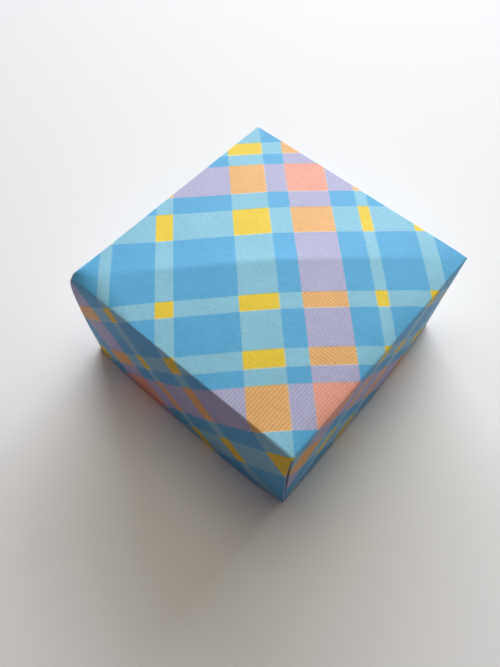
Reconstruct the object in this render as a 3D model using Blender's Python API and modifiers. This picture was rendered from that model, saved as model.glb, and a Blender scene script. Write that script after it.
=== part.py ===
"""Origami box: a lid over a base, each folded without a cut from one square sheet of paper.

Both are the classic square box (masu). A flat quarter of the sheet is a plane primitive, scored along
its creases by bisecting it. Every panel between the creases is then laid where the folding brings it, in
its own layer, so the ears, the rims and the tips on the floor are stacked as the real paper is. The
quarter is mirrored to the whole sheet, and Solidify gives the paper its thickness.

In the flat sheet u and v run from its centre to its corners, so the sheet's edge is u + v = 4 quarters.
Folded, the box stands open side up: v walls cross the Y axis and carry the ears, u walls cross the X axis.
"""

import math
from dataclasses import dataclass

import bmesh
import bpy
from mathutils import Matrix, Vector

# The paper
LID_SHEET_SIDE = 0.150
PAPER_THICKNESS = 0.00012
LAYER_PITCH = 0.00022
FOLD_RADIUS = 0.00015

# The fold of both sheets
TIP_GAP = 0.0005
TIP_SPRING = 0.0010

# The lid's shape, as worn paper takes it
LID_WALL_BOW = 0.0011
LID_TOP_DOME = 0.0010
LID_TOP_RIDGE = 0.0004
LID_RIDGE_WIDTH = 0.0080

# The lid over the base
FIT_CLEARANCE = 0.00035

# How many cells each panel of the sheet is scored into, to take up its bow or dome
CELLS_PER_PANEL = 4

# A score line this close to a corner that is there already runs through it
SCORE_SNAP = FOLD_RADIUS / 100

# Steepness of the bow towards a wall's ends
BOW_POWER = 4

# Layers of paper in a v wall, counted from the outside: wall, two ears, two ear backs, lining
EAR_LAYER, INNER_EAR_LAYER, INNER_BACK_LAYER, OUTER_BACK_LAYER, LINING_LAYER = 1, 2, 3, 4, 5

# The finish: the middle colour of the plaid print, and the plain paper of the base
PLAID_COLOUR = (0.14, 0.45, 0.73)
PLAIN_COLOUR = (0.30, 0.58, 0.76)
PAPER_ROUGHNESS = 0.85

COLLECTION_NAME = "origami_box"


@dataclass(frozen=True)
class FoldedSheet:
    """The sizes of one folded sheet, all taken at the middle of the paper."""

    quarter: float
    wall_bow: float = 0.0
    dome: float = 0.0
    ridge: float = 0.0

    @property
    def half(self):
        """Half the box's side: the sheet's creases lie at its quarters."""
        return self.quarter

    @property
    def height(self):
        """From the floor panel to the rim of the v walls."""
        return self.quarter

    @property
    def ear_rim(self):
        """Rim of the outer ears, which lie inside the v wall's own rim fold."""
        return self.height - LAYER_PITCH

    @property
    def inner_rim(self):
        """Rim of the inner ears and of the u walls, one fold further in."""
        return self.ear_rim - LAYER_PITCH

    @property
    def foot(self):
        """Lowest point of what comes down inside the walls, on top of the tips' crease."""
        return LAYER_PITCH + FOLD_RADIUS


def band_of(flat, quarter):
    """Which quarter of the sheet's half diagonal a flat coordinate lies in: 0, 1, 2 or 3."""
    return min(max(int(flat // quarter), 0), 3)


def share_of(flat, quarter):
    """How far a flat coordinate lies through its own band, 0 to 1 between the band's creases."""
    band = band_of(flat, quarter)
    start = band * quarter + (FOLD_RADIUS if band else 0)
    end = (band + 1) * quarter - (FOLD_RADIUS if band < 3 else 0)
    return (flat - start) / (end - start)


def mix(start, end, share):
    """The value that lies a share of the way from start to end."""
    return start + (end - start) * share


def lay_u_side(band, across, along, sheet):
    """A point of a u wall (band 1), its lining (2) or its tip (3); along is 0 at the wall's middle."""
    half = sheet.half
    wall_end = half - INNER_EAR_LAYER * LAYER_PITCH - FOLD_RADIUS
    if band == 1:
        return half, wall_end * along, mix(FOLD_RADIUS, sheet.inner_rim, across)
    lining = half - LAYER_PITCH
    if band == 2:
        return lining, (wall_end - LAYER_PITCH) * along, mix(sheet.inner_rim, sheet.foot, across)
    point = INNER_BACK_LAYER * LAYER_PITCH + TIP_GAP
    tip_end = half - OUTER_BACK_LAYER * LAYER_PITCH - FOLD_RADIUS - TIP_GAP
    rise = LAYER_PITCH + TIP_SPRING * across**2
    return mix(lining - FOLD_RADIUS, point, across), tip_end * along, rise


def lay_v_side(band, across, along, sheet):
    """A point of a v wall (band 1), its lining (2) or its tip (3); along is 0 at the wall's middle."""
    half = sheet.half
    if band == 1:
        return half * along, half, mix(FOLD_RADIUS, sheet.height, across)
    lining = half - LINING_LAYER * LAYER_PITCH
    lining_end = half - 2 * LAYER_PITCH
    if band == 2:
        return lining_end * along, lining, mix(sheet.height, sheet.foot, across)
    rise = LAYER_PITCH + TIP_SPRING * across**2
    return (lining_end - FOLD_RADIUS) * along, mix(lining - FOLD_RADIUS, TIP_GAP / 2, across), rise


def lay_ear(u_band, v_band, u_share, v_share, on_v_side, sheet):
    """A point of the four ear triangles, which lie between a v wall and its lining."""
    half, tip = sheet.half, TIP_GAP / 2
    if v_band == 2:
        end = half - 2 * LAYER_PITCH
        height = mix(sheet.ear_rim, sheet.foot, v_share)
        return mix(end, tip, u_share), half - OUTER_BACK_LAYER * LAYER_PITCH, height
    if u_band == 2:
        end = half - LAYER_PITCH - FOLD_RADIUS
        height = mix(sheet.inner_rim, sheet.foot, u_share)
        return mix(end, tip, v_share), half - INNER_BACK_LAYER * LAYER_PITCH, height
    if on_v_side:
        height = mix(FOLD_RADIUS, sheet.ear_rim, v_share)
        return mix(half, tip, u_share), half - EAR_LAYER * LAYER_PITCH, height
    end = half - FOLD_RADIUS
    height = mix(FOLD_RADIUS, sheet.inner_rim, u_share)
    return mix(end, tip, v_share), half - INNER_EAR_LAYER * LAYER_PITCH, height


def folded_point(u, v, sheet):
    """Where the point (u, v) of the flat quarter sheet lies in the folded box."""
    u_band, v_band = band_of(u, sheet.quarter), band_of(v, sheet.quarter)
    u_share, v_share = share_of(u, sheet.quarter), share_of(v, sheet.quarter)
    floor_end = sheet.half - FOLD_RADIUS
    if u_band == 0 and v_band == 0:
        return Vector((floor_end * u_share, floor_end * v_share, 0))
    if v_band == 0:
        return Vector(lay_u_side(u_band, u_share, v_share, sheet))
    if u_band == 0:
        return Vector(lay_v_side(v_band, v_share, u_share, sheet))
    on_v_side = v > u - SCORE_SNAP
    return Vector(lay_ear(u_band, v_band, u_share, v_share, on_v_side, sheet))


def bowed(point, sheet):
    """The same point once the v walls stand bowed and the floor panel is domed with its old creases."""
    x_share, y_share, z_share = point.x / sheet.half, point.y / sheet.half, point.z / sheet.height
    ends = 1 - abs(x_share) ** BOW_POWER
    bow = sheet.wall_bow * ends * (1 - (1 - z_share) ** BOW_POWER) * y_share
    panel = (1 - x_share**2) * (1 - y_share**2)
    crease = max(1 - abs(point.x - point.y) / LID_RIDGE_WIDTH, 0)
    fade = (1 - z_share) ** (2 * BOW_POWER)
    sink = (sheet.dome * panel + sheet.ridge * crease * (1 - x_share**2)) * fade
    return point + Vector((0, bow, -sink))


def score_line(quarter_sheet, faces, place, direction):
    """Cuts the flat faces along a line through place that the direction is square to."""
    geometry = list(faces)
    geometry += {edge for face in faces for edge in face.edges}
    geometry += {vert for face in faces for vert in face.verts}
    bmesh.ops.bisect_plane(
        quarter_sheet, geom=geometry, dist=SCORE_SNAP, plane_co=place, plane_no=direction
    )


def faces_within(quarter_sheet, start, end):
    """The faces whose middles lie between start and end in both u and v."""
    found = []
    for face in quarter_sheet.faces:
        middle = face.calc_center_median()
        if start < middle.x < end and start < middle.y < end:
            found.append(face)
    return found


def score_places(sheet):
    """Flat coordinates that the sheet is scored at: a pair for each crease, and cells between them."""
    places = {sheet.quarter + 2 * FOLD_RADIUS, 2 * sheet.quarter - 2 * FOLD_RADIUS}
    for band in range(4):
        crease = (band + 1) * sheet.quarter
        if band < 3:
            places |= {crease - FOLD_RADIUS, crease + FOLD_RADIUS}
        for cell in range(1, CELLS_PER_PANEL):
            places.add(mix(crease - sheet.quarter, crease, cell / CELLS_PER_PANEL))
    return sorted(places)


def flat_quarter(sheet):
    """A quarter of the square sheet, flat and scored along every crease of the fold."""
    scored = bmesh.new()
    reach = sheet.quarter * 4
    turned = Matrix.Rotation(math.radians(45), 4, "Z")
    half_side = reach / math.sqrt(2)
    bmesh.ops.create_grid(scored, x_segments=1, y_segments=1, size=half_side, matrix=turned)
    for direction in (Vector((1, 0, 0)), Vector((0, 1, 0))):
        bmesh.ops.bisect_plane(
            scored,
            geom=scored.verts[:] + scored.edges[:] + scored.faces[:],
            dist=SCORE_SNAP,
            plane_co=Vector(),
            plane_no=direction,
            clear_inner=True,
        )
        for place in score_places(sheet):
            score_line(scored, scored.faces[:], direction * place, direction)
    return scored


def score_diagonals(scored, sheet):
    """The floor panel's crease from the first fold of the sheet, and the double crease of the ears."""
    quarter = sheet.quarter
    across = Vector((1, -1, 0)).normalized()
    score_line(scored, faces_within(scored, 0, quarter - FOLD_RADIUS), Vector(), across)
    for side in (1, -1):
        ear = faces_within(scored, quarter + FOLD_RADIUS, 2 * quarter - FOLD_RADIUS)
        score_line(scored, ear, Vector((side * FOLD_RADIUS, 0, 0)), across)


def relieve_ear_tips(scored, sheet):
    """Nicks the middle of the sheet's edge, where the tips of the ears from both corners would meet."""
    start = 2 * (sheet.quarter - FOLD_RADIUS)
    tips = faces_within(scored, start, 2 * sheet.quarter + FOLD_RADIUS)
    bmesh.ops.delete(scored, geom=tips, context="FACES")


def folded_mesh(name, sheet):
    """The mesh of a quarter box, folded from its flat quarter sheet."""
    scored = flat_quarter(sheet)
    score_diagonals(scored, sheet)
    relieve_ear_tips(scored, sheet)
    for vert in scored.verts:
        vert.co = bowed(folded_point(vert.co.x, vert.co.y, sheet), sheet)
    bmesh.ops.triangulate(scored, faces=scored.faces[:])
    mesh = bpy.data.meshes.new(name)
    scored.to_mesh(mesh)
    scored.free()
    return mesh


def paper_material(name, colour):
    """A matte paper of one colour."""
    material = bpy.data.materials.new(name)
    material.use_nodes = True
    shader = material.node_tree.nodes["Principled BSDF"]
    shader.inputs["Base Color"].default_value = (*colour, 1)
    shader.inputs["Roughness"].default_value = PAPER_ROUGHNESS
    shader.inputs["Metallic"].default_value = 0
    return material


def folded_box(name, sheet, material, collection):
    """One folded sheet as an object: the quarter mirrored to a whole, with the paper's thickness."""
    box = bpy.data.objects.new(name, folded_mesh(name, sheet))
    box.data.materials.append(material)
    collection.objects.link(box)
    mirror = box.modifiers.new("other_quarters", "MIRROR")
    mirror.use_axis = (True, True, False)
    mirror.merge_threshold = SCORE_SNAP
    paper = box.modifiers.new("paper", "SOLIDIFY")
    paper.thickness = PAPER_THICKNESS
    paper.offset = 0
    paper.use_quality_normals = True
    return box


def clear_scene():
    """Takes every object out of the scene that the file starts with."""
    for old in list(bpy.data.objects):
        bpy.data.objects.remove(old)


def main():
    """The base stands open side up, and the lid is turned over and set down over it."""
    clear_scene()
    collection = bpy.data.collections.new(COLLECTION_NAME)
    bpy.context.scene.collection.children.link(collection)

    lid_sheet = FoldedSheet(
        quarter=LID_SHEET_SIDE / math.sqrt(2) / 4,
        wall_bow=LID_WALL_BOW,
        dome=LID_TOP_DOME,
        ridge=LID_TOP_RIDGE,
    )
    lid_lining = LINING_LAYER * LAYER_PITCH + PAPER_THICKNESS
    base_sheet = FoldedSheet(quarter=lid_sheet.half - lid_lining - FIT_CLEARANCE)

    plaid = paper_material("plaid_paper", PLAID_COLOUR)
    plain = paper_material("plain_paper", PLAIN_COLOUR)

    base = folded_box("base", base_sheet, plain, collection)
    base.location.z = PAPER_THICKNESS / 2

    lid = folded_box("lid", lid_sheet, plaid, collection)
    lid.rotation_euler.x = math.pi
    lid.location.z = lid_sheet.height + PAPER_THICKNESS / 2


main()
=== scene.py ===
"""An origami box with its lid on, folded from plaid paper, standing on a pale table.

The lid and the tray inside it are two squares of paper, each folded without a cut. A quarter of each
square starts as a plane, is scored along its creases, and every panel between the creases is turned and
seated where the folding brings it. The quarter is mirrored to the whole box, eased into shape, given the
paper's thickness and dressed. All sizes are in metres.
"""

import logging
import math
from dataclasses import dataclass, field
from enum import Enum
from typing import Callable, Sequence

import bmesh
import bpy
import numpy as np
from mathutils import Matrix, Vector


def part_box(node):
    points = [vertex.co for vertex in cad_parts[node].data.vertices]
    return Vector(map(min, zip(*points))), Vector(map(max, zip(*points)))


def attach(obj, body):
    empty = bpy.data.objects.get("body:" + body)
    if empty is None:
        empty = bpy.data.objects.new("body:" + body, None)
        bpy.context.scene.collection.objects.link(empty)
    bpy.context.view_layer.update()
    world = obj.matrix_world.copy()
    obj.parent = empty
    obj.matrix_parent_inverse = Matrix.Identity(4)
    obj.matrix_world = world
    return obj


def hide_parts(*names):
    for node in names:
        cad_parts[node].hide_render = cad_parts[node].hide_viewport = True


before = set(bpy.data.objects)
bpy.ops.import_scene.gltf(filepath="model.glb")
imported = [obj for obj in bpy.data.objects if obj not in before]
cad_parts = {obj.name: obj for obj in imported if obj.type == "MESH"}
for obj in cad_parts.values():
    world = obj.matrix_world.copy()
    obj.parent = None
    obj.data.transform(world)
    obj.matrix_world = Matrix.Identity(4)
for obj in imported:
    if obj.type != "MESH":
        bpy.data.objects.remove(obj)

logging.basicConfig(level=logging.INFO, format="%(name)s: %(message)s")
LOG = logging.getLogger("origami_box")

MM = 0.001
SHEET_MAP = "sheet"
CENTRE = (0.0, 0.0, 0.0)
RGBA = tuple[float, float, float, float]

# The colour sockets of a Mix node, by their place
MIX_SHARE, MIX_FIRST, MIX_SECOND, MIX_RESULT = 0, 6, 7, 2


def linear_level(level: float) -> float:
    """Turns a screen's level from 0 to 1 into a linear one, by the screens' standard curve."""
    return level / 12.92 if level <= 0.04045 else ((level + 0.055) / 1.055) ** 2.4


def screen_colour(red: float, green: float, blue: float) -> RGBA:
    """Turns a colour as a screen shows it into a linear one.

    Args:
        red: From 0 to 255.
        green: From 0 to 255.
        blue: From 0 to 255.

    Returns:
        The linear colour, with an alpha of 1.
    """
    return (linear_level(red / 255), linear_level(green / 255), linear_level(blue / 255), 1.0)


class Wiring:
    """A material's node tree, with short calls for the nodes that the finishes are wired from."""

    def __init__(self, name: str) -> None:
        """Starts a material.

        Args:
            name: The material's name.
        """
        self.material = bpy.data.materials.new(name)
        self.material.use_nodes = True
        self.tree = self.material.node_tree
        self.shader = self.tree.nodes["Principled BSDF"]

    def add(self, kind: str, **settings: object) -> bpy.types.Node:
        """Adds a node.

        Args:
            kind: The node's type name.
            **settings: Properties to set on the node.

        Returns:
            The new node.
        """
        node = self.tree.nodes.new(kind)
        for key, value in settings.items():
            setattr(node, key, value)
        return node

    def join(self, source: object, socket: bpy.types.NodeSocket) -> None:
        """Feeds a socket from another node's output, or sets it to a plain value.

        Args:
            source: An output socket, a number, or a row of numbers.
            socket: The input socket.
        """
        if isinstance(source, bpy.types.NodeSocket):
            self.tree.links.new(source, socket)
        else:
            socket.default_value = source

    def math(self, operation: str, *inputs: object) -> bpy.types.NodeSocket:
        """Adds a Math node.

        Args:
            operation: The node's operation.
            *inputs: Its inputs, as sockets or numbers.

        Returns:
            The result.
        """
        node = self.add("ShaderNodeMath", operation=operation)
        for source, socket in zip(inputs, node.inputs):
            self.join(source, socket)
        return node.outputs[0]

    def vector(self, operation: str, *inputs: object, output: int = 0) -> bpy.types.NodeSocket:
        """Adds a Vector Math node.

        Args:
            operation: The node's operation.
            *inputs: Its inputs, as sockets, rows of numbers or, for a scale, its factor last.
            output: Which output is wanted: 0 for a vector, 1 for a value.

        Returns:
            The result.
        """
        node = self.add("ShaderNodeVectorMath", operation=operation)
        sockets = [node.inputs[0], node.inputs["Scale"]] if operation == "SCALE" else node.inputs
        for source, socket in zip(inputs, sockets):
            self.join(source, socket)
        return node.outputs[output]

    def mix(
        self, share: object, first: object, second: object, blend: str = "MIX"
    ) -> bpy.types.NodeSocket:
        """Adds a colour Mix node.

        Args:
            share: How much of the second colour there is.
            first: The first colour.
            second: The second colour.
            blend: The blend type.

        Returns:
            The mixed colour.
        """
        node = self.add("ShaderNodeMix", data_type="RGBA", blend_type=blend)
        places = (MIX_SHARE, MIX_FIRST, MIX_SECOND)
        for source, place in zip((share, first, second), places):
            self.join(source, node.inputs[place])
        return node.outputs[MIX_RESULT]

    def noise(
        self, place: object, grain: float, detail: float = 2.0, stray: float = 0.0
    ) -> bpy.types.NodeSocket:
        """Adds a Noise Texture over a place in metres.

        Args:
            place: The coordinates, in metres.
            grain: The size of its blotches, in metres.
            detail: How many finer layers it has.
            stray: Its distortion, which draws the blotches out.

        Returns:
            Its value, about 0.5 on average.
        """
        node = self.add("ShaderNodeTexNoise")
        self.join(place, node.inputs["Vector"])
        node.inputs["Scale"].default_value = 1 / grain
        node.inputs["Detail"].default_value = detail
        node.inputs["Distortion"].default_value = stray
        return node.outputs["Fac"]

    def spread(
        self, source: object, low: float, high: float, start: float, end: float
    ) -> bpy.types.NodeSocket:
        """Adds a Map Range node, held between its ends.

        Args:
            source: The value.
            low: The value that gives start.
            high: The value that gives end.
            start: The result at low.
            end: The result at high.

        Returns:
            The result.
        """
        node = self.add("ShaderNodeMapRange")
        self.join(source, node.inputs["Value"])
        names = ("From Min", "From Max", "To Min", "To Max")
        for name, value in zip(names, (low, high, start, end)):
            node.inputs[name].default_value = value
        return node.outputs["Result"]

    def ramp(self, source: object, stops: Sequence[tuple[float, float]]) -> bpy.types.NodeSocket:
        """Adds a Color Ramp of greys.

        Args:
            source: The value, from 0 to 1.
            stops: Rows of place and brightness, in order.

        Returns:
            The ramp's grey.
        """
        node = self.add("ShaderNodeValToRGB")
        elements = node.color_ramp.elements
        elements.remove(elements[-1])
        for index, (place, grey) in enumerate(stops):
            stop = elements.new(place) if index else elements[0]
            stop.position = place
            stop.color = (grey, grey, grey, 1)
        self.join(source, node.inputs[0])
        return node.outputs["Color"]


class Ink(Enum):
    """What a band of the plaid is printed with."""

    GROUND = "ground"
    LIGHT = "light"
    HATCHED = "hatched"


@dataclass(frozen=True)
class Sett:
    """One direction of the plaid, in millimetres: a wide light band's start, and the bands from there."""

    start: float
    bands: tuple[tuple[Ink, float], ...]

    @property
    def repeat(self) -> float:
        """The width after which the bands come again."""
        return sum(width for _, width in self.bands)

    def stops(self, ink: Ink, edge: float) -> list[tuple[float, float]]:
        """Ramp stops over one repeat that are white where this ink lies.

        Args:
            ink: The ink.
            edge: The width of a band's soft edge.

        Returns:
            Rows of place and brightness.
        """
        found = []
        place = 0.0
        for band, width in self.bands:
            if band is ink:
                edges = ((max(place, edge / 2), 0.0, 1.0), (place + width, 1.0, 0.0))
                for middle, before, after in edges:
                    found += [(middle - edge / 2, before), (middle + edge / 2, after)]
            place += width
        return [(place / self.repeat, grey) for place, grey in found]

    def band(
        self, wiring: Wiring, across: bpy.types.NodeSocket, ink: Ink, edge: float, shift: float
    ) -> bpy.types.NodeSocket:
        """Wires the mask of one ink.

        Args:
            wiring: The material's wiring.
            across: The place across the bands, in metres.
            ink: The ink.
            edge: The width of a band's soft edge, in millimetres.
            shift: How far this plate is printed out of register, in millimetres.

        Returns:
            1 where the ink lies and 0 beside it.
        """
        per_metre = 1 / (MM * self.repeat)
        turns = wiring.math("MULTIPLY_ADD", across, per_metre, -(self.start + shift) / self.repeat)
        return wiring.ramp(wiring.math("FRACT", turns), self.stops(ink, edge))


@dataclass(frozen=True)
class PaperFinish:
    """What every paper has: its fibres, its creases' wear, a painted highlight along the folds at the box's
    corners, and its sheen.

    The unprinted back's colour comes first, then the sheen, the grains of the noises from fine to broad,
    how strong they are, how wide and pale the print's wear is along its creases, and how pale the painted
    highlight on the corners' folds is.
    """

    name: str
    back: RGBA = screen_colour(240, 238, 230)
    roughness: float = 0.58
    roughness_spread: float = 0.06
    sheen_level: float = 0.33
    fibre: float = 0.18 * MM
    blotch: float = 0.36 * MM
    ripple: float = 1.8 * MM
    cloud: float = 7.0 * MM
    mottle: float = 0.11
    cloud_share: float = 1 / 3
    relief: float = 0.011 * MM
    ripple_weight: float = 3.5
    crease_line_width: float = 0.25 * MM
    crease_line_grain: float = 1.3 * MM
    crease_line_least: float = 0.4
    wear: float = 0.12
    # How pale the painted highlight is along each wall's fold over its ears, at the box's vertical corner
    # edges
    fold_highlight: float = 0.60
    # The range that nearly all, most and about half of a noise's values lie in
    full_range: tuple[float, float] = (0.25, 0.75)
    most_range: tuple[float, float] = (0.30, 0.70)
    half_range: tuple[float, float] = (0.35, 0.65)

    def flat_place(self, wiring: Wiring, quarter: float) -> bpy.types.NodeSocket:
        """Wires where a point lies on the flat sheet, in metres from its centre, along its diagonals.

        Args:
            wiring: The material's wiring.
            quarter: A quarter of the sheet's half diagonal.

        Returns:
            The place, as a vector.
        """
        unit_place = wiring.add("ShaderNodeUVMap", uv_map=SHEET_MAP).outputs["UV"]
        centred = wiring.vector("SUBTRACT", unit_place, (0.5, 0.5, 0.0))
        return wiring.vector("SCALE", centred, 8 * quarter)

    def crease_wear_and_highlight(
        self, wiring: Wiring, place: bpy.types.NodeSocket, quarter: float
    ) -> bpy.types.NodeSocket:
        """Wires the print's wear in broken lines along the creases, and a painted highlight, broken the same
        way, along each wall's fold at the box's vertical corner edges.

        Args:
            wiring: The material's wiring.
            place: The place on the flat sheet.
            quarter: A quarter of the sheet's half diagonal, where its creases lie.

        Returns:
            A value from 0 to 1.
        """
        apart = wiring.add("ShaderNodeSeparateXYZ")
        wiring.join(place, apart.inputs[0])
        outs = [wiring.math("ABSOLUTE", apart.outputs[axis]) for axis in (0, 1)]
        lines = []
        for out in outs:
            off = wiring.math("ABSOLUTE", wiring.math("WRAP", out, quarter / 2, -quarter / 2))
            near = wiring.spread(off, 0.0, self.crease_line_width, self.wear, 0.0)
            lines.append(wiring.math("MULTIPLY", near, wiring.math("GREATER_THAN", out, quarter / 2)))
        creased = wiring.math("MAXIMUM", *lines)
        # Painted highlight: a pale line along each wall's fold over its ears, at the box's vertical corner
        # edges
        off = wiring.math("ABSOLUTE", wiring.math("SUBTRACT", outs[0], quarter))
        folded = wiring.spread(off, 0.0, self.crease_line_width, self.fold_highlight, 0.0)
        folded = wiring.math("MULTIPLY", folded, wiring.math("GREATER_THAN", outs[1], quarter))
        folded = wiring.math("MULTIPLY", folded, wiring.math("LESS_THAN", outs[1], 2 * quarter))
        patches = wiring.noise(place, self.crease_line_grain, detail=3.0)
        broken = wiring.spread(patches, *self.half_range, self.crease_line_least, 1.0)
        return wiring.math("MULTIPLY", wiring.math("MAXIMUM", creased, folded), broken)

    def surface(self, wiring: Wiring, colour: object, place: bpy.types.NodeSocket, wear_and_highlight: object) -> None:
        """Wires the print's colour, its mottle, its wear and the painted highlight on the corner folds, the
        sheen and the relief into the shader.

        Args:
            wiring: The material's wiring.
            colour: The print's colour.
            place: The place on the flat sheet.
            wear_and_highlight: How far the print fades to the back's colour, by wear and by the painted
                highlight.
        """
        fibres = wiring.noise(place, self.fibre, detail=2.0, stray=1.2)
        blotches = wiring.noise(place, self.blotch, detail=3.0, stray=0.5)
        ripples = wiring.noise(place, self.ripple, detail=1.0, stray=0.6)
        clouds = wiring.noise(place, self.cloud, detail=2.0)

        faint = self.mottle * self.cloud_share
        fine = wiring.spread(blotches, *self.full_range, 1 - self.mottle, 1 + self.mottle)
        broad = wiring.spread(clouds, *self.most_range, 1 - faint, 1 + faint)
        printed = wiring.mix(1.0, colour, wiring.math("MULTIPLY", fine, broad), "MULTIPLY")
        # The crease wear and the painted highlight on the corner folds fade the print towards the back's
        # colour
        print_wear_highlight = wiring.mix(wear_and_highlight, printed, self.back)
        wiring.join(print_wear_highlight, wiring.shader.inputs["Base Color"])

        smooth, rough = self.roughness - self.roughness_spread, self.roughness + self.roughness_spread
        sheen = wiring.spread(fibres, *self.most_range, smooth, rough)
        wiring.join(sheen, wiring.shader.inputs["Roughness"])
        wiring.shader.inputs["Metallic"].default_value = 0.0
        wiring.shader.inputs["Specular IOR Level"].default_value = self.sheen_level

        height = wiring.math("ADD", fibres, blotches)
        height = wiring.math("MULTIPLY_ADD", ripples, self.ripple_weight, height)
        bump = wiring.add("ShaderNodeBump")
        bump.inputs["Strength"].default_value = 1.0
        bump.inputs["Distance"].default_value = self.relief
        wiring.join(height, bump.inputs["Height"])
        wiring.join(bump.outputs[0], wiring.shader.inputs["Normal"])

    def print_colour(self, wiring: Wiring, place: bpy.types.NodeSocket) -> object:
        """The colour of the sheet's face: bare paper has its back's colour there too."""
        return self.back

    def face(self, quarter: float) -> bpy.types.Material:
        """Makes the material of the printed face.

        Args:
            quarter: A quarter of the sheet's half diagonal.

        Returns:
            The material.
        """
        wiring = Wiring(self.name)
        place = self.flat_place(wiring, quarter)
        # The print's crease wear, with the painted highlight on the corner folds
        wear_and_highlight = self.crease_wear_and_highlight(wiring, place, quarter)
        self.surface(wiring, self.print_colour(wiring, place), place, wear_and_highlight)
        return wiring.material

    def reverse(self, quarter: float) -> bpy.types.Material:
        """Makes the material of the unprinted back and the cut edges.

        Args:
            quarter: A quarter of the sheet's half diagonal.

        Returns:
            The material.
        """
        wiring = Wiring(f"{self.name}_back")
        place = self.flat_place(wiring, quarter)
        self.surface(wiring, self.back, place, 0.0)
        return wiring.material


@dataclass(frozen=True)
class PlainFinish(PaperFinish):
    """Paper dyed in one colour on its face, a shade deeper where the dye took."""

    tint: RGBA = screen_colour(152, 204, 224)
    deep_tint: RGBA = screen_colour(132, 190, 216)

    def print_colour(self, wiring: Wiring, place: bpy.types.NodeSocket) -> bpy.types.NodeSocket:
        """The dye, uneven in soft clouds.

        Args:
            wiring: The material's wiring.
            place: The place on the flat sheet.

        Returns:
            The colour.
        """
        clouds = wiring.noise(place, 2 * self.cloud, detail=3.0)
        deep = wiring.spread(clouds, *self.half_range, 0.0, 1.0)
        return wiring.mix(deep, self.tint, self.deep_tint)


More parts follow.
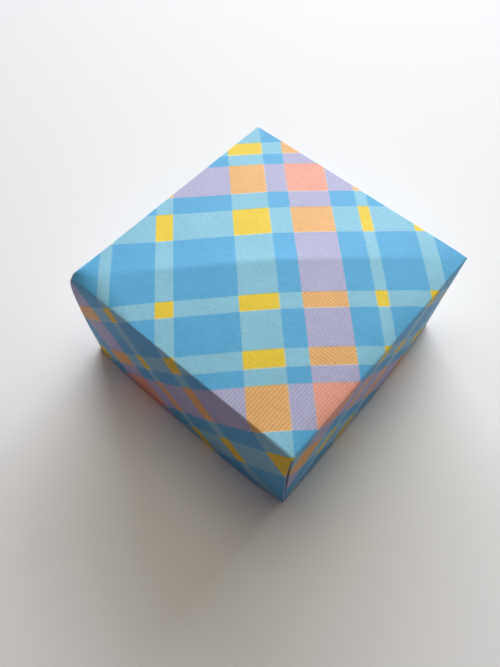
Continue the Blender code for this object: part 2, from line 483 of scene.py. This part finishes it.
@dataclass(frozen=True)
class PlaidFinish(PaperFinish):
    """A woven-look check: light bands and hatched bands cross on a blue ground, with warm blocks between.

    across runs from the left corner of the lid's top to the right one, and away from the near corner to the
    far one. The cool inks leave the crossings bare and the warm inks fill them, a little out of register, so
    that these blocks have a pale edge. A hatched band has fine lines of lilac and pink, a block where it
    crosses a light band has apricot and orange, and one where two of them cross has coral and salmon.
    """

    across: Sett = Sett(
        start=-7.05,
        bands=(
            (Ink.LIGHT, 7.32),
            (Ink.GROUND, 4.19),
            (Ink.HATCHED, 8.38),
            (Ink.GROUND, 5.22),
            (Ink.LIGHT, 2.33),
            (Ink.GROUND, 8.25),
            (Ink.LIGHT, 3.37),
            (Ink.GROUND, 11.53),
        ),
    )
    away: Sett = Sett(
        start=6.60,
        bands=(
            (Ink.LIGHT, 6.84),
            (Ink.GROUND, 4.35),
            (Ink.HATCHED, 7.98),
            (Ink.GROUND, 3.13),
            (Ink.LIGHT, 3.42),
            (Ink.GROUND, 7.74),
            (Ink.LIGHT, 3.39),
            (Ink.GROUND, 13.74),
        ),
    )
    ground: RGBA = screen_colour(86, 172, 219)
    light: RGBA = screen_colour(138, 199, 222)
    lilac: RGBA = screen_colour(168, 192, 221)
    pink: RGBA = screen_colour(188, 162, 200)
    yellow: RGBA = screen_colour(252, 221, 54)
    apricot: RGBA = screen_colour(255, 206, 144)
    orange: RGBA = screen_colour(243, 177, 103)
    coral: RGBA = screen_colour(255, 185, 167)
    salmon: RGBA = screen_colour(248, 150, 137)
    band_edge: float = 0.12
    register: tuple[float, float] = (-0.02, 0.07)
    hatch_pitch: float = 0.60 * MM

    def hatch(
        self, wiring: Wiring, over: bpy.types.NodeSocket, up: bpy.types.NodeSocket, sign: float
    ) -> bpy.types.NodeSocket:
        """Wires fine slanted lines.

        Args:
            wiring: The material's wiring.
            over: The place across the sheet.
            up: The place away over the sheet.
            sign: 1 for lines that rise to the left, -1 for lines that rise to the right.

        Returns:
            A wave from 0 to 1.
        """
        along = wiring.math("MULTIPLY_ADD", up, sign, over)
        turns = wiring.math("MULTIPLY", along, 2 * math.pi / (self.hatch_pitch * math.sqrt(2)))
        return wiring.spread(wiring.math("SINE", turns), -1.0, 1.0, 0.0, 1.0)

    def print_colour(self, wiring: Wiring, place: bpy.types.NodeSocket) -> bpy.types.NodeSocket:
        """Wires the check.

        Args:
            wiring: The material's wiring.
            place: The place on the flat sheet, along its diagonals.

        Returns:
            The colour.
        """
        slant = math.sqrt(0.5)
        over = wiring.vector("DOT_PRODUCT", place, (slant, -slant, 0.0), output=1)
        up = wiring.vector("DOT_PRODUCT", place, (-slant, -slant, 0.0), output=1)
        plates = {"cool": (0.0, 0.0), "warm": self.register}
        masks = {}
        for plate, (shift_over, shift_up) in plates.items():
            for ink in (Ink.LIGHT, Ink.HATCHED):
                masks[plate, ink] = (
                    self.across.band(wiring, over, ink, self.band_edge, shift_over),
                    self.away.band(wiring, up, ink, self.band_edge, shift_up),
                )
        rising = self.hatch(wiring, over, up, -1.0)
        falling = self.hatch(wiring, over, up, 1.0)
        hatches = wiring.mix(masks["cool", Ink.HATCHED][1], falling, rising)

        cool = wiring.mix(wiring.math("MAXIMUM", *masks["cool", Ink.LIGHT]), self.ground, self.light)
        lines = wiring.mix(hatches, self.lilac, self.pink)
        cool = wiring.mix(wiring.math("MAXIMUM", *masks["cool", Ink.HATCHED]), cool, lines)
        cool = wiring.mix(self.crossing(wiring, masks, "cool"), cool, self.back)

        hatched = masks["warm", Ink.HATCHED]
        single = wiring.mix(hatches, self.apricot, self.orange)
        double = wiring.mix(wiring.math("MULTIPLY", rising, falling), self.coral, self.salmon)
        warm = wiring.mix(wiring.math("MAXIMUM", *hatched), self.yellow, single)
        warm = wiring.mix(wiring.math("MULTIPLY", *hatched), warm, double)
        return wiring.mix(self.crossing(wiring, masks, "warm"), cool, warm, "MULTIPLY")

    def crossing(self, wiring: Wiring, masks: dict, plate: str) -> bpy.types.NodeSocket:
        """Where bands of both directions cross.

        Args:
            wiring: The material's wiring.
            masks: The bands' masks by plate and ink.
            plate: The plate.

        Returns:
            1 on the crossings and 0 elsewhere.
        """
        light, hatched = masks[plate, Ink.LIGHT], masks[plate, Ink.HATCHED]
        crossed = [wiring.math("MAXIMUM", light[way], hatched[way]) for way in (0, 1)]
        return wiring.math("MULTIPLY", *crossed)


@dataclass(frozen=True)
class Paper:
    """The sheet that a box is folded from, and how tightly it folds.

    tip_gap is what is left open between the tips on the floor, and tip_spring how many degrees they rise.
    """

    thickness: float = 0.12 * MM
    layer_pitch: float = 0.22 * MM
    fold_radius: float = 0.15 * MM
    tip_gap: float = 0.50 * MM
    tip_spring: float = 2.0

    @property
    def snap(self) -> float:
        """How close a score line may pass by a corner without cutting beside it."""
        return self.fold_radius / 100


class Layer(Enum):
    """The layers of paper in a gusseted wall, counted from the outside."""

    WALL = 0
    EAR = 1
    INNER_EAR = 2
    INNER_BACK = 3
    OUTER_BACK = 4
    LINING = 5


@dataclass(frozen=True)
class Panel:
    """A flat panel between creases, and where the folding brings it.

    u_band and v_band say which quarters of the sheet's half diagonals it lies in, and outer which side of
    the ears' diagonal. turns are turns about the sheet's centre, as axis and degrees in their order, and
    low and high are the corners of the place that it is seated in.
    """

    name: str
    u_band: int
    v_band: int
    turns: tuple[tuple[str, int], ...]
    low: tuple[float, float, float]
    high: tuple[float, float, float]
    outer: bool | None = None


@dataclass(frozen=True)
class Wear:
    """How far a box that is turned over has eased from its true planes.

    Left, right, near and far are as the camera sees them: the left wall is square to Y, the right wall to
    X, and the near corner lies between them. A size scales what its name says, and that has faded to
    nothing at its reach, or at its width. Only the ridges run on past theirs, where a third is left.
    """

    # The walls square to Y stand bowed, and the panel is domed, higher towards one corner
    bow: float = 0.0
    dome: float = 0.0
    dome_lean: tuple[float, float] = (0.0, 0.0)
    # The folds that the sheet began with stand up as ridges from corner to corner
    ridge: float = 0.0
    ridge_width: float = 6.0 * MM
    far_ridge: float = 0.0
    far_ridge_width: float = 12.0 * MM
    # A wall's fold over its ears is drawn in along the wall at every corner, and further at the near one
    slack: float = 0.0
    curl: float = 0.0
    curl_reach: float = 4.0 * MM
    # The right wall's end opens away from that fold
    gape: float = 0.0
    gape_depth: float = 0.8 * MM
    gape_reach: float = 6.0 * MM
    # The left wall leans out along the panel, clear of its left end, and bulges at the near corner
    flare: float = 0.0
    flare_start: float = 10.0 * MM
    bulge: float = 0.0
    bulge_reach: float = 12.0 * MM
    # The left corner has swelled, and its rim is nipped in
    swell: float = 0.0
    swell_reach: float = 9.0 * MM
    nip: float = 0.0
    nip_reach: float = 6.0 * MM
    # The right wall's rim is tucked in towards its far end
    tuck: float = 0.0
    tuck_reach: float = 7.0 * MM
    # The panel's edge is pressed soft by the left corner, in a fan that narrows to its tips
    soft: float = 0.0
    soft_length: float = 17.0 * MM
    soft_width: float = 5.0 * MM
    soft_tip: float = 1.2 * MM
    # The panel rounds down to the right wall, more at its near end than at its far end
    shoulder: float = 0.0
    shoulder_width: float = 3.2 * MM
    shoulder_share: float = 0.65
    shoulder_lean: float = 0.35
    # How steeply the bow and the dome end at an edge, and the nip above the rim
    steepness: int = 4
    # Powers under 1 set the fullest place of a wall, of the swelling and of the soft fan off the middle
    belly_power: float = 0.6
    swell_power: float = 0.45
    fan_power: float = 0.6


def select_verts(piece: bpy.types.Object, wanted: Callable[[int], bool]) -> None:
    """Selects vertices of the piece that is in edit mode, and nothing else.

    Args:
        piece: The piece.
        wanted: Says for a vertex's index whether it is selected.
    """
    bpy.ops.mesh.select_mode(type="VERT")
    bpy.ops.mesh.select_all(action="DESELECT")
    cage = bmesh.from_edit_mesh(piece.data)
    for vert in cage.verts:
        vert.select_set(wanted(vert.index))
    cage.select_flush(True)
    bmesh.update_edit_mesh(piece.data)


def select_faces(piece: bpy.types.Object, wanted: Callable[[Vector], bool]) -> None:
    """Selects faces of the piece that is in edit mode by their middles, and nothing else.

    Args:
        piece: The piece.
        wanted: Says for a face's middle whether it is selected.
    """
    bpy.ops.mesh.select_mode(type="FACE")
    bpy.ops.mesh.select_all(action="DESELECT")
    cage = bmesh.from_edit_mesh(piece.data)
    for face in cage.faces:
        face.select_set(wanted(face.calc_center_median()))
    bmesh.update_edit_mesh(piece.data)


def turn(axis: str, degrees: float, centre: Sequence[float] = CENTRE) -> None:
    """Turns what is selected in edit mode, by the right-hand rule.

    Args:
        axis: X, Y or Z.
        degrees: The angle.
        centre: The point that it turns about.
    """
    # With no window the operator turns the other way.
    bpy.ops.transform.rotate(value=-math.radians(degrees), orient_axis=axis, center_override=centre)


def finish_with(piece: bpy.types.Object, kind: str, name: str, **settings: object) -> None:
    """Adds a modifier to the active piece and applies it.

    Args:
        piece: The piece.
        kind: The modifier's type.
        name: The modifier's name.
        **settings: Its settings.
    """
    modifier = piece.modifiers.new(name, kind)
    for key, value in settings.items():
        setattr(modifier, key, value)
    bpy.ops.object.modifier_apply(modifier=name)


@dataclass
class FoldedBox:
    """One square of paper folded into an open box, standing open side up until it is turned over.

    Each panel is scored into a number of cells, and those of the floor's panel crowd towards its edges
    where crowd is over 1.
    """

    name: str
    node: str
    body: str
    slot: str
    finish: PaperFinish
    quarter: float
    paper: Paper = Paper()
    wear: Wear = Wear()
    cells: int = 20
    crowd: float = 1.25
    smooth_angle: float = 35.0
    upturned: bool = False
    piece: bpy.types.Object = field(init=False)

    @property
    def rim(self) -> float:
        """Height of the gusseted walls' rim over the floor panel."""
        return self.quarter

    def depth(self, layer: Layer) -> float:
        """How far a gusseted wall's layer lies inside the wall itself."""
        return layer.value * self.paper.layer_pitch

    def panels(self) -> list[Panel]:
        """The panels of a quarter sheet, apart from the floor's, which stays where it is."""
        half, radius, pitch = self.quarter, self.paper.fold_radius, self.paper.layer_pitch
        wall, ear, inner_ear, inner_back, outer_back, inmost = (
            half - self.depth(layer) for layer in Layer
        )
        ear_rim, inner_rim = self.rim - pitch, self.rim - 2 * pitch
        foot = pitch + radius
        tip = self.paper.tip_gap / 2
        lining, lining_end = half - pitch, half - 2 * pitch
        side_end = inner_ear - radius
        lined_end = side_end - pitch
        point = self.depth(Layer.INNER_BACK) + self.paper.tip_gap
        point_end = outer_back - radius - self.paper.tip_gap
        fold, fold_end = lining - radius, lining_end - radius
        up, down, over = ("X", 90), ("X", -90), ("X", 180)
        side, back = ("Z", 90), ("Z", 180)
        inner_ear_high = (half - radius, inner_ear, inner_rim)
        outer_back_high = (lining_end, outer_back, ear_rim)
        return [
            Panel("plain_wall", 1, 0, (("Y", -90),), (half, 0, radius), (half, side_end, inner_rim)),
            Panel("plain_lining", 2, 0, (("Y", 90),), (lining, 0, foot), (lining, lined_end, inner_rim)),
            Panel("plain_tip", 3, 0, (("Y", 180),), (point, 0, pitch), (fold, point_end, pitch)),
            Panel("gusset_wall", 0, 1, (up,), (0, wall, radius), (half, wall, self.rim)),
            Panel("gusset_lining", 0, 2, (down,), (0, inmost, foot), (lining_end, inmost, self.rim)),
            Panel("gusset_tip", 0, 3, (over,), (0, tip, pitch), (fold_end, inmost - radius, pitch)),
            Panel("ear", 1, 1, (up, back), (tip, ear, radius), (half, ear, ear_rim), outer=True),
            Panel("inner_ear", 1, 1, (side, up), (tip, inner_ear, radius), inner_ear_high, outer=False),
            Panel("outer_back", 1, 2, (down, back), (tip, outer_back, foot), outer_back_high),
            Panel("inner_back", 2, 1, (side, down), (tip, inner_back, foot), (fold, inner_back, inner_rim)),
        ]

    def band_start(self, band: int) -> float:
        """Where a panel of this band starts on the flat sheet, past its crease."""
        return band * self.quarter + (self.paper.fold_radius if band else 0.0)

    def band_end(self, band: int) -> float:
        """Where a panel of this band ends on the flat sheet, short of the next crease."""
        return (band + 1) * self.quarter - (self.paper.fold_radius if band < 3 else 0.0)

    def score(self, place: Vector, across: Vector, clear: bool = False) -> None:
        """Cuts the selected faces along a line.

        Args:
            place: A point on the line.
            across: The direction square to it.
            clear: Whether the sheet behind the line is cut away.
        """
        bpy.ops.mesh.bisect(plane_co=place, plane_no=across, threshold=self.paper.snap, clear_inner=clear)

    def lay_out(self) -> None:
        """Adds the flat sheet as a plane, cuts out a quarter and scores its creases and cells."""
        side = 4 * self.quarter * math.sqrt(2)
        bpy.ops.object.select_all(action="DESELECT")
        bpy.ops.mesh.primitive_plane_add(size=side, rotation=(0, 0, math.radians(45)), location=CENTRE)
        self.piece = bpy.context.object
        self.piece.name = self.piece.data.name = self.name
        bpy.ops.object.transform_apply(location=False, rotation=True, scale=False)
        radius = self.paper.fold_radius
        lines = {self.quarter + 2 * radius, 2 * (self.quarter - radius)}
        for band in range(4):
            crowd = 1.0 if band else self.crowd
            shares = [1 - (1 - cell / self.cells) ** crowd for cell in range(1, self.cells)]
            lines |= {(band + share) * self.quarter for share in shares}
            lines |= {self.band_start(band), self.band_end(band)} - {0.0, 4 * self.quarter}
        bpy.ops.object.mode_set(mode="EDIT")
        for across in (Vector((1, 0, 0)), Vector((0, 1, 0))):
            bpy.ops.mesh.select_all(action="SELECT")
            self.score(Vector(), across, clear=True)
            for line in sorted(lines):
                bpy.ops.mesh.select_all(action="SELECT")
                self.score(across * line, across)
        self.score_diagonals()
        # A nick in the sheet's edge keeps the tips of two corners' ears apart
        self.select_between(2 * (self.quarter - radius), 2 * self.quarter + radius)
        bpy.ops.mesh.delete(type="FACE")
        bpy.ops.object.mode_set(mode="OBJECT")

    def select_between(self, start: float, end: float) -> None:
        """Selects the flat faces whose middles lie between start and end along both diagonals."""
        select_faces(self.piece, lambda middle: all(start < flat < end for flat in middle.xy))

    def score_diagonals(self) -> None:
        """Scores the floor panel's crease from the sheet's first fold, and the ears' double crease."""
        across = Vector((1, -1, 0)).normalized()
        radius = self.paper.fold_radius
        for band, places in ((0, (0.0,)), (1, (radius, -radius))):
            for place in places:
                self.select_between(self.band_start(band), self.band_end(band))
                self.score(Vector((place, 0, 0)), across)

    def map_sheet(self) -> None:
        """Gives the flat sheet its map: the unit square over the whole sheet's diagonals."""
        mesh = self.piece.data
        while mesh.uv_layers:
            mesh.uv_layers.remove(mesh.uv_layers[0])
        layer = mesh.uv_layers.new(name=SHEET_MAP)
        places = np.empty(len(mesh.vertices) * 3, np.float32)
        mesh.vertices.foreach_get("co", places)
        corners = np.empty(len(mesh.loops), np.int32)
        mesh.loops.foreach_get("vertex_index", corners)
        flat = places.reshape(-1, 3)[corners, :2] / (8 * self.quarter) + 0.5
        layer.uv.foreach_set("vector", flat.ravel())

    def fold(self) -> None:
        """Turns every panel the way its creases fold, and seats it in its layer."""
        flat = [vert.co.xy.copy() for vert in self.piece.data.vertices]
        bands = [tuple(min(int(max(way, 0.0) // self.quarter), 3) for way in place) for place in flat]
        outer = [place.y > place.x - self.paper.snap for place in flat]
        bpy.ops.object.mode_set(mode="EDIT")
        for panel in self.panels():
            select_verts(
                self.piece,
                lambda index: bands[index] == (panel.u_band, panel.v_band)
                and panel.outer in (None, outer[index]),
            )
            self.seat(panel)
        for name, axis, sense in (("plain_tip", "Y", 1), ("gusset_tip", "X", -1)):
            panel = next(panel for panel in self.panels() if panel.name == name)
            select_verts(self.piece, lambda index: bands[index] == (panel.u_band, panel.v_band))
            turn(axis, sense * self.paper.tip_spring, panel.high)
        bpy.ops.object.mode_set(mode="OBJECT")

    def seat(self, panel: Panel) -> None:
        """Turns the selected panel, then fits and moves it to its place.

        Args:
            panel: The panel.
        """
        turned = Matrix.Identity(3)
        for axis, degrees in panel.turns:
            turn(axis, degrees)
            turned = Matrix.Rotation(math.radians(degrees), 3, axis) @ turned
        corners = [
            turned @ Vector((of_band(panel.u_band), of_band(panel.v_band), 0.0))
            for of_band in (self.band_start, self.band_end)
        ]
        fit, move = [], []
        for first, last, low, high in zip(*corners, panel.low, panel.high):
            first, last = sorted((first, last))
            scale = (high - low) / (last - first) if last - first > self.paper.fold_radius else 1.0
            fit.append(scale)
            move.append(low - first * scale)
        bpy.ops.transform.resize(value=fit, center_override=CENTRE)
        bpy.ops.transform.translate(value=move)

    def complete(self) -> None:
        """Mirrors the quarter to the whole box, with its map, and turns its printed face outwards."""
        for axis in range(2):
            finish_with(
                self.piece,
                "MIRROR",
                "other_half",
                use_axis=[axis == way for way in range(3)],
                use_mirror_u=axis == 0,
                use_mirror_v=axis == 1,
                merge_threshold=self.paper.snap,
            )
        bpy.ops.object.mode_set(mode="EDIT")
        bpy.ops.mesh.select_all(action="SELECT")
        bpy.ops.mesh.flip_normals()
        bpy.ops.mesh.quads_convert_to_tris(quad_method="FIXED", ngon_method="BEAUTY")
        bpy.ops.object.mode_set(mode="OBJECT")

    def place(self) -> None:
        """Stands the box where its solid stands: on its floor panel, or turned over on its rim."""
        lift = self.paper.thickness / 2
        bpy.ops.object.mode_set(mode="EDIT")
        bpy.ops.mesh.select_all(action="SELECT")
        if self.upturned:
            turn("X", 180)
            lift += self.rim
        bpy.ops.transform.translate(value=(0, 0, lift))
        bpy.ops.object.mode_set(mode="OBJECT")

    def near_corner(self, places: np.ndarray, corner: tuple[int, int], reach: float) -> np.ndarray:
        """How near points lie to one of the box's vertical edges.

        Args:
            places: Rows of x, y and z.
            corner: The signs of its x and y.
            reach: How far from it the result has faded to nothing.

        Returns:
            1 at the edge, and 0 from the reach on.
        """
        by_x, by_y = (self.near_wall(places[:, way] * corner[way], reach) for way in (0, 1))
        return by_x * by_y

    def near_wall(self, out: np.ndarray, reach: float) -> np.ndarray:
        """How near points lie to a wall that they lie out towards: 1 at it and 0 from the reach on."""
        return (1 - (self.quarter - out) / reach).clip(0, 1) ** 2

    def wear_top(self, places: np.ndarray) -> np.ndarray:
        """How far points at the height of the panel rise or sink.

        Args:
            places: Rows of x, y and z.

        Returns:
            The rises.
        """
        wear = self.wear
        x, y = places[:, 0], places[:, 1]
        x_share, y_share = x / self.quarter, y / self.quarter
        lean = 1 + wear.dome_lean[0] * x_share + wear.dome_lean[1] * y_share
        panel = (1 - x_share**2).clip(0) * (1 - y_share**2).clip(0) * lean
        left_to_right = np.exp(-np.abs(x - y) / math.sqrt(2) / wear.ridge_width)
        near_to_far = np.exp(-np.abs(x + y) / math.sqrt(2) / wear.far_ridge_width)
        ridges = wear.ridge * left_to_right + wear.far_ridge * near_to_far
        along = ((x + self.quarter) / wear.soft_length).clip(0, 1)
        fan = wear.soft_tip + (wear.soft_width - wear.soft_tip) * np.sin(np.pi * along**wear.fan_power)
        across = (1 - (y + self.quarter) / (fan.clip(0) + self.paper.fold_radius)).clip(0, 1)
        soft = wear.soft * (1 - along) * across**3
        shoulder = wear.shoulder * (1 - (self.quarter - x) / wear.shoulder_width).clip(0, 1) ** 2
        shoulder *= wear.shoulder_share - wear.shoulder_lean * y_share
        return wear.dome * panel + (1 - x_share**2).clip(0) * ridges - soft - shoulder

    def wear_in(self) -> None:
        """Eases the true planes: walls bow, the panel domes over its old creases, corners soften."""
        mesh, wear, half = self.piece.data, self.wear, self.quarter
        flat = np.empty(len(mesh.vertices) * 3, np.float32)
        mesh.vertices.foreach_get("co", flat)
        places = flat.reshape(-1, 3).astype(float)
        x, y, z = places.T
        down = ((self.rim + self.paper.thickness / 2 - z) / self.rim).clip(0, 1)

        hollow = 1 - (1 - down) ** wear.steepness
        ends = 1 - np.abs(x / half).clip(0, 1) ** wear.steepness
        bow = wear.bow * ends * hollow * y / half
        lift = self.wear_top(places) * (1 - down) ** (2 * wear.steepness)

        folded = np.abs(y) > half - self.depth(Layer.EAR) - self.paper.layer_pitch / 2
        belly = np.sin(np.pi * down**wear.belly_power)
        curl = (wear.slack + wear.curl * (x > 0) * (y < 0)) * folded * belly
        curl *= self.near_wall(np.abs(x), wear.curl_reach) * np.sign(x)
        inwards = (half - x).clip(0) / wear.gape_depth
        pocket = (inwards * np.exp(1 - inwards)) ** 2
        gape = wear.gape * pocket * self.near_wall(-y, wear.gape_reach) * ~folded * belly

        flare = wear.flare * self.near_wall(-y, 2 * half) * (1 - down)
        flare *= 1 - self.near_wall(-x, wear.flare_start)
        bulge = wear.bulge * self.near_corner(places, (1, -1), wear.bulge_reach) ** 0.5 * belly
        swell = wear.swell * self.near_corner(places, (-1, -1), wear.swell_reach)
        swell *= np.sin(np.pi * down**wear.swell_power)
        nip = wear.nip * self.near_corner(places, (-1, -1), wear.nip_reach) * down**wear.steepness
        tuck = wear.tuck * self.near_wall(x, wear.tuck_reach) ** 0.5
        tuck *= (y / half).clip(0, 1) ** 2 * down

        out_x = nip - curl - swell - tuck
        out_y = bow + gape - swell - flare - bulge
        places += np.stack([out_x, out_y, lift], 1)
        mesh.vertices.foreach_set("co", places.astype(np.float32).ravel())
        mesh.update()

    def thicken(self) -> None:
        """Gives the paper its thickness, with the unprinted back and the cut edges in their own finish."""
        self.piece.data.materials.append(self.finish.face(self.quarter))
        self.piece.data.materials.append(self.finish.reverse(self.quarter))
        finish_with(
            self.piece,
            "SOLIDIFY",
            "paper",
            thickness=self.paper.thickness,
            offset=0.0,
            use_quality_normals=True,
            material_offset=1,
            material_offset_rim=1,
        )
        bpy.ops.object.shade_smooth_by_angle(angle=math.radians(self.smooth_angle))

    def build(self) -> bpy.types.Object:
        """Folds the box and hands it to the frame.

        Returns:
            The finished piece.
        """
        self.lay_out()
        self.map_sheet()
        self.fold()
        self.complete()
        self.place()
        if self.upturned:
            self.wear_in()
        self.thicken()
        self.piece.parent = None
        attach(self.piece, self.body)
        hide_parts(self.node)
        LOG.info("%s: %d faces", self.name, len(self.piece.data.polygons))
        return self.piece


@dataclass(frozen=True)
class SoftLight:
    """A soft area light that hangs in one direction from the box and faces it."""

    name: str
    direction: tuple[float, float, float]
    distance: float
    size: tuple[float, float]
    power: float
    colour: tuple[float, float, float]

    def hang(self) -> None:
        """Adds the light."""
        away = Vector(self.direction).normalized()
        bpy.ops.object.light_add(type="AREA", location=away * self.distance)
        lamp = bpy.context.object
        lamp.name = self.name
        lamp.rotation_euler = away.to_track_quat("Z", "Y").to_euler()
        lamp.data.shape = "RECTANGLE"
        lamp.data.size, lamp.data.size_y = self.size
        lamp.data.energy = self.power
        lamp.data.color = self.colour


@dataclass
class Studio:
    """The pale table, the soft light from beyond the box, and the camera at the photograph's angle.

    The angles are in degrees, and the lens and the film in millimetres. table_fade says how far from the
    box the table starts to fade into the backdrop and where it is gone.
    """

    camera_place: tuple[float, float, float] = (41.20 * MM, -58.37 * MM, 124.0 * MM)
    camera_angles: tuple[float, float, float] = (30.04, -1.494, 40.823)
    lens: float = 34.33
    film: float = 36.0
    nearest: float = 1.0 * MM
    table_side: float = 4.0
    table: RGBA = screen_colour(232, 223, 228)
    table_shown: RGBA = screen_colour(246, 246, 244)
    table_fade: tuple[float, float] = (0.17, 0.45)
    table_roughness: float = 0.9
    table_gloss: float = 0.1
    lights: tuple[SoftLight, ...] = (
        SoftLight("window", (-0.463, 0.806, 0.375), 0.80, (1.0, 0.5), 12.6, (0.85, 0.89, 1.0)),
        SoftLight("overhead", (-0.100, 0.142, 0.985), 0.25, (0.18, 0.18), 0.215, (1.0, 0.98, 0.80)),
        SoftLight("side", (0.210, 0.454, 0.866), 0.25, (0.18, 0.18), 0.040, (0.9, 1.0, 0.7)),
    )
    room: RGBA = (1.0, 0.36, 0.60, 1.0)
    room_level: float = 0.05
    backdrop: RGBA = screen_colour(244, 244, 242)
    backdrop_level: float = 1.0

    def lay_table(self) -> None:
        """Adds the table top, which shows paler than it lights the box and fades into the backdrop."""
        bpy.ops.object.select_all(action="DESELECT")
        bpy.ops.mesh.primitive_plane_add(size=self.table_side, location=CENTRE)
        table = bpy.context.object
        table.name = "table_top"
        wiring = Wiring("table_top")
        rays = wiring.add("ShaderNodeLightPath").outputs
        seen = wiring.math("MAXIMUM", rays["Is Camera Ray"], rays["Is Glossy Ray"])
        seen = wiring.math("MAXIMUM", seen, rays["Is Transmission Ray"])
        wiring.join(wiring.mix(seen, self.table, self.table_shown), wiring.shader.inputs["Base Color"])
        wiring.shader.inputs["Roughness"].default_value = self.table_roughness
        wiring.shader.inputs["Specular IOR Level"].default_value = self.table_gloss
        place = wiring.add("ShaderNodeTexCoord").outputs["Object"]
        far = wiring.spread(wiring.vector("LENGTH", place, output=1), *self.table_fade, 0.0, 1.0)
        glow = wiring.add("ShaderNodeEmission")
        glow.inputs["Color"].default_value = self.backdrop
        choice = wiring.add("ShaderNodeMixShader")
        output = wiring.tree.nodes["Material Output"].inputs["Surface"]
        shown = (wiring.math("MULTIPLY", far, seen), wiring.shader.outputs[0], glow.outputs[0])
        for source, socket in zip(shown, choice.inputs):
            wiring.join(source, socket)
        wiring.join(choice.outputs[0], output)
        table.data.materials.append(wiring.material)

    def fill_room(self) -> None:
        """Sets the room's faint even light, which shows as a pale backdrop to the camera and to gloss."""
        world = bpy.data.worlds.new("room")
        world.use_nodes = True
        tree = world.node_tree
        rays = tree.nodes.new("ShaderNodeLightPath").outputs
        seen = rays["Is Camera Ray"]
        for kind in ("Is Glossy Ray", "Is Transmission Ray"):
            either = tree.nodes.new("ShaderNodeMath")
            either.operation = "MAXIMUM"
            tree.links.new(seen, either.inputs[0])
            tree.links.new(rays[kind], either.inputs[1])
            seen = either.outputs[0]
        lit = tree.nodes["Background"]
        shown = tree.nodes.new("ShaderNodeBackground")
        lights = ((lit, self.room, self.room_level), (shown, self.backdrop, self.backdrop_level))
        for node, colour, level in lights:
            node.inputs["Color"].default_value = colour
            node.inputs["Strength"].default_value = level
        choice = tree.nodes.new("ShaderNodeMixShader")
        for source, socket in zip((seen, lit.outputs[0], shown.outputs[0]), choice.inputs):
            tree.links.new(source, socket)
        tree.links.new(choice.outputs[0], tree.nodes["World Output"].inputs["Surface"])
        bpy.context.scene.world = world

    def set_camera(self) -> None:
        """Stands the camera where the photograph was taken from."""
        bpy.ops.object.camera_add(
            location=self.camera_place, rotation=[math.radians(angle) for angle in self.camera_angles]
        )
        camera = bpy.context.object
        camera.data.lens = self.lens
        camera.data.sensor_width = self.film
        camera.data.clip_start = self.nearest
        camera.data.dof.use_dof = False
        bpy.context.scene.camera = camera
        bpy.context.scene.view_settings.view_transform = "Standard"

    def build(self) -> None:
        """Sets up the table, the light and the camera."""
        self.lay_table()
        for light in self.lights:
            light.hang()
        self.fill_room()
        self.set_camera()
        LOG.info("studio ready")


def quarter_of(node: str, paper: Paper) -> float:
    """A quarter of a sheet's half diagonal, from the walls of the solid that it was folded to."""
    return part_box(node)[1].x - paper.thickness / 2


def main() -> None:
    """Builds the box and its setting."""
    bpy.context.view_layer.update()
    paper = Paper()
    Studio().build()
    tray = FoldedBox(
        name="tray_paper",
        node="base",
        body="base",
        slot="plain_paper",
        finish=PlainFinish("plain_paper"),
        quarter=quarter_of("base", paper),
        cells=10,
    )
    lid = FoldedBox(
        name="lid_paper",
        node="lid",
        body="lid",
        slot="plaid_paper",
        finish=PlaidFinish("plaid_paper"),
        quarter=quarter_of("lid", paper),
        upturned=True,
        wear=Wear(
            bow=1.1 * MM,
            dome=1.12 * MM,
            dome_lean=(0.53, -0.16),
            ridge=0.52 * MM,
            far_ridge=0.50 * MM,
            slack=0.12 * MM,
            curl=0.28 * MM,
            gape=0.60 * MM,
            flare=0.45 * MM,
            bulge=0.45 * MM,
            swell=0.75 * MM,
            nip=1.0 * MM,
            tuck=1.2 * MM,
            soft=1.0 * MM,
            shoulder=0.34 * MM,
        ),
        cells=32,
    )
    for box in (tray, lid):
        box.build()


if __name__ == "__main__":
    main()
